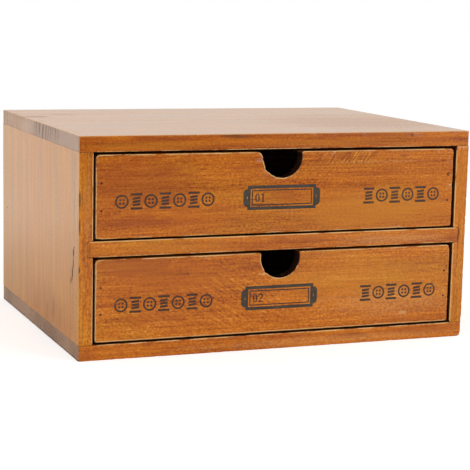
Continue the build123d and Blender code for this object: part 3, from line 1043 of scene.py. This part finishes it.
def drawer_front(node, look):
    low, high = millimetres(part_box(node))
    face, middle, seed = low[1], (low[2] + high[2]) / 2, look.seed
    notch = Notch(high[2] - NOTCH_DROP, look.shoulders, look.ragged, seed)
    weaves = [Weave((x, face, middle + up), (wide, 4, tall), angle, strength)
              for x, up, wide, tall, angle, strength in look.weaves]
    material = pine(f"{node}_pine", "X", seed, look.pith, look.tone, weaves=weaves, hue=look.hue,
                    marks=front_marks(look.marks, 4, face, middle), ring=5.5, notch=notch, fine=1.45)
    (x0, _, z0), (x1, _, z1) = low, high
    nicks = random_nicks(seed + 20, 22, (x0, face, z1), (x1, face, z1), (0, 0.6, -0.6))
    nicks += random_nicks(seed + 21, 18, (x0, face, z0), (x1, face, z0), (0, 0.6, 0.6))
    nicks += random_nicks(seed + 22, 16, (x0, face, z0), (x0, face, z1), (0.6, 0.6, 0), (0.2, 0.6))
    nicks += random_nicks(seed + 23, 8, (x1, face, z0), (x1, face, z1), (-0.6, 0.6, 0))
    nicks += notch_chips(notch, face, look.chips)
    dents = []
    if look.dent:
        x, up = look.dent
        dents = [((x, face, middle + up), DENT_RADIUS, (0, DENT_DEPTH, 0), 0.0)]
    add_board(node, "Y", material, seed, look.edges, (SHARP,) * 4,
              [(node.replace("front", "bottom"), GROOVE_FIT)], corners=(1.6, 1.6, 2.4, 3.0), step=1.4,
              dip=0.04, notch=notch, nicks=nicks, dents=dents)


BOX_EDGES = (SHARP, SHARP, SHARP, EASED)
BOX_STEP = 3.0  # spacing of the points round the boards inside


def drawer_wall(node, axis, along, seed, tone, cut_by=()):
    """A side or the back of a drawer, in bare pine."""
    material = pine(f"{node}_pine", along, seed, (60, 200), tone, palette=BARE, ends=END_BARE)
    add_board(node, axis, material, seed, BOX_EDGES, BOX_EDGES, cut_by, step=BOX_STEP)


def drawer_bottom(node, seed):
    low, high = millimetres(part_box(node))
    material = plywood(f"{node}_plywood", "Z", (low[2] + high[2]) / 2, seed)
    add_board(node, "Z", material, seed, (CRISP,) * 4, (CRISP,) * 4, step=BOX_STEP)


def drawer(name, look):
    part = f"{name}_drawer_"
    grooved = [(part + "bottom", GROOVE_FIT)]
    drawer_front(part + "front", look)
    drawer_wall(part + "left_side", "X", "Y", look.seed + 1, 0.55, grooved)
    drawer_wall(part + "right_side", "X", "Y", look.seed + 2, 0.55, grooved)
    drawer_wall(part + "back", "Y", "X", look.seed + 3, 0.52)
    drawer_bottom(part + "bottom", look.seed + 4)

# ---- the printed signs

INK_PROUD = 0.03  # the ink stands this far off the wood
INK_DEPTH = 0.15  # and reaches this far into it, below the face's shallow dips


def oval(centre, wide, tall, count=40):
    return [(centre[0] + wide * cos(a), centre[1] + tall * sin(a))
            for a in np.linspace(0, 2 * pi, count, endpoint=False)]


def rectangle(u0, v0, u1, v1):
    return [(u0, v0), (u1, v0), (u1, v1), (u0, v1)]


def stroke(points, widths):
    """The outline of a pen stroke along the points, with a width at each."""
    points = np.array(points, float)
    along = np.gradient(points, axis=0)
    aside = np.stack([-along[:, 1], along[:, 0]], 1)
    aside = aside / np.linalg.norm(aside, axis=1)[:, None] * np.array(widths)[:, None] / 2
    return [tuple(p) for p in points + aside] + [tuple(p) for p in (points - aside)[::-1]]


def button_sign(u, v, size):
    """A sewing button seen from the front: a broad rim and four holes."""
    radius, offset = size / 2, size * 0.125
    rim, hole = radius * 0.74, radius * 0.17
    shapes = [[oval((u, v), radius, radius), oval((u, v), rim, rim)]]
    corners = rectangle(u - offset, v - offset, u + offset, v + offset)
    return shapes + [[oval(corner, hole, hole, 16)] for corner in corners]


def spool_sign(u, v, size):
    """A reel of thread seen from the side: two flanges, a waist and slanting turns."""
    half, wide, rim = size / 2, size * 0.37, size * 0.14
    shapes = [[rectangle(u - wide, v - half, u + wide, v - (half - rim))],
              [rectangle(u - wide, v + (half - rim), u + wide, v + half)]]
    turns, waist = 3, wide * 0.66
    bottom, top = v - half + rim * 1.5, v + half - rim * 1.5
    pitch = (top - bottom) / turns
    for i in range(turns):
        low = bottom + i * pitch
        shapes.append([[(u - waist, low), (u + waist, low + pitch * 0.26),
                        (u + waist, low + pitch * 0.98), (u - waist, low + pitch * 0.72)]])
    return shapes


def digit_shapes(digit, u, v, height):
    """A plain figure, drawn with a broad pen; u, v is its lower left corner."""
    if digit == "0":
        middle, a, b = (u + height * 0.27, v + height / 2), height * 0.27, height * 0.5
        return [[oval(middle, a, b), oval(middle, a * 0.42, b * 0.84)]]
    if digit == "1":
        corners = [(0.04, 0.0), (0.52, 0.0), (0.52, 0.07), (0.36, 0.07), (0.36, 1.0), (0.2, 1.0),
                   (0.02, 0.86), (0.02, 0.8), (0.2, 0.86), (0.2, 0.07), (0.04, 0.07)]
        return [[[(u + height * a, v + height * b) for a, b in corners]]]
    bowl = arc((u + height * 0.27, v + height * 0.73), height * 0.22, pi * 0.93, -0.25 * pi, 0.25)
    path = bowl + [(u + height * 0.24, v + height * 0.32), (u + height * 0.06, v + height * 0.08)]
    widths = [0.08 + 0.1 * sin(pi * i / (len(path) - 1)) for i in range(len(path))]
    tail = rectangle(u + height * 0.02, v, u + height * 0.52, v + height * 0.13)
    return [[stroke(path, [height * w for w in widths])], [tail]]


LABEL_HALF = (26.5, 8.7)  # half width and height of the printed card holder
LABEL_BAND = 2.2
# A lug at each end, as steps from the band's outer edge and from the holder's middle line
LUG = [(0.0, 6.7), (0.7, 6.2), (1.9, 5.9), (2.8, 5.0), (3.2, 3.6)]
LUG_HOLE = (0.32, 1.7)  # half width and height of the diamond left open in it
LUG_HOLE_OUT = 0.2  # from the band's outer edge


def label_frame(v):
    """The printed outline of a card holder: a broad band with a lug at each end."""
    wide, tall = LABEL_HALF
    upper = [(wide + out, v + up) for out, up in LUG]
    lower = [(a, 2 * v - b) for a, b in upper]
    right = [(wide, v - tall)] + lower + upper[::-1] + [(wide, v + tall)]
    left = [(-a, 2 * v - b) for a, b in right]
    holes = [rectangle(LABEL_BAND - wide, v + LABEL_BAND - tall, wide - LABEL_BAND, v + tall - LABEL_BAND)]
    for side in (-1, 1):
        middle = side * (wide + LUG_HOLE_OUT)
        a, b = LUG_HOLE
        holes.append([(middle - a, v), (middle, v - b), (middle + a, v), (middle, v + b)])
    return [[right + left] + holes]


def label_line(v):
    """The thin line inside the card holder's band."""
    gap, line = 1.0, 0.75
    a, b = (half - LABEL_BAND - gap for half in LABEL_HALF)
    return [[rectangle(-a, v - b, a, v + b), rectangle(line - a, v + line - b, a - line, v + b - line)]]


def add_print(name, shapes, face, body, material):
    """Ink in the given shapes, each an outer loop and its holes, on the face at Y = face."""
    points, faces = [], []
    for loops in shapes:
        first = len(points)
        sizes = [len(loop) for loop in loops]
        flat = [p for loop in loops for p in loop]
        total = len(flat)
        points += [(u, face - INK_PROUD, v) for u, v in flat]
        points += [(u, face + INK_DEPTH, v) for u, v in flat]
        triangles = tessellate_polygon([[Vector((u, v, 0)) for u, v in loop] for loop in loops])
        for triangle in triangles:
            faces.append([first + i for i in triangle])
            faces.append([first + total + i for i in triangle[::-1]])
        start = first
        for size in sizes:
            for i in range(size):
                a, b = start + i, start + (i + 1) % size
                faces.append((a, b, b + total, a + total))
            start += size
    mesh = bpy.data.meshes.new(name)
    mesh.from_pydata([tuple(MM * c for c in p) for p in points], [], faces)
    outwards(mesh)
    add_piece(name, mesh, None, body, material)


PRINT_DROP = 3.5  # the print's middle lies this far under the front's middle
NUMBER_PLACE = (-20.6, 3.1)  # the number's left end, and its depth under the print's middle
DIGIT_HEIGHT = 6.2
DIGIT_PITCH = 4.2
# A row of signs: the X of its first, their spacing and number, how far the row lies under the
# print's middle, and the two kinds of sign that take turns, with their sizes
SignRow = namedtuple("SignRow", "start pitch count drop signs")
LEFT_SIGNS = SignRow(-119.4, 10.5, 7, 0.0, ((button_sign, 9.8), (spool_sign, 11.4)))
RIGHT_SIGNS = SignRow(68.9, 10.6, 6, 0.8, ((spool_sign, 11.8), (button_sign, 9.8)))


def sign_row(row, v):
    shapes = []
    for i in range(row.count):
        sign, size = row.signs[i % 2]
        shapes += sign(row.start + row.pitch * i, v - row.drop, size)
    return shapes


def drawer_print(name, number, frame_ink, line_ink, sign_ink):
    body = f"{name}_drawer"
    low, high = millimetres(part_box(f"{name}_drawer_front"))
    face, v = low[1], (low[2] + high[2]) / 2 - PRINT_DROP
    add_print(f"{name}_label_frame", label_frame(v), face, body, frame_ink)
    start, drop = NUMBER_PLACE
    figures = []
    for i, digit in enumerate(number):
        figures += digit_shapes(digit, start + DIGIT_PITCH * i, v - drop, DIGIT_HEIGHT)
    add_print(f"{name}_label_line", label_line(v) + figures, face, body, line_ink)
    add_print(f"{name}_left_signs", sign_row(LEFT_SIGNS, v), face, body, sign_ink)
    add_print(f"{name}_right_signs", sign_row(RIGHT_SIGNS, v), face, body, sign_ink)


# ---- the scene

def dress_brads():
    steel = brad_steel()
    for node in BRADS:
        materials = frame["nodes"][node].data.materials
        materials.clear()
        materials.append(steel)


add_camera()
add_world()
add_floor()
add_lamps()

top_board()
bottom_board()
left_side_board()
right_side_board()
shelf_board()
back_board()
drawer("upper", UPPER_LOOK)
drawer("lower", LOWER_LOOK)
inks = [printed_ink(*values) for values in (FRAME_INK, LINE_INK, SIGN_INK)]
drawer_print("upper", "01", *inks)
drawer_print("lower", "02", *inks)
dress_brads()

bpy.context.scene.view_settings.view_transform = "Standard"

bpy.context.view_layer.update()
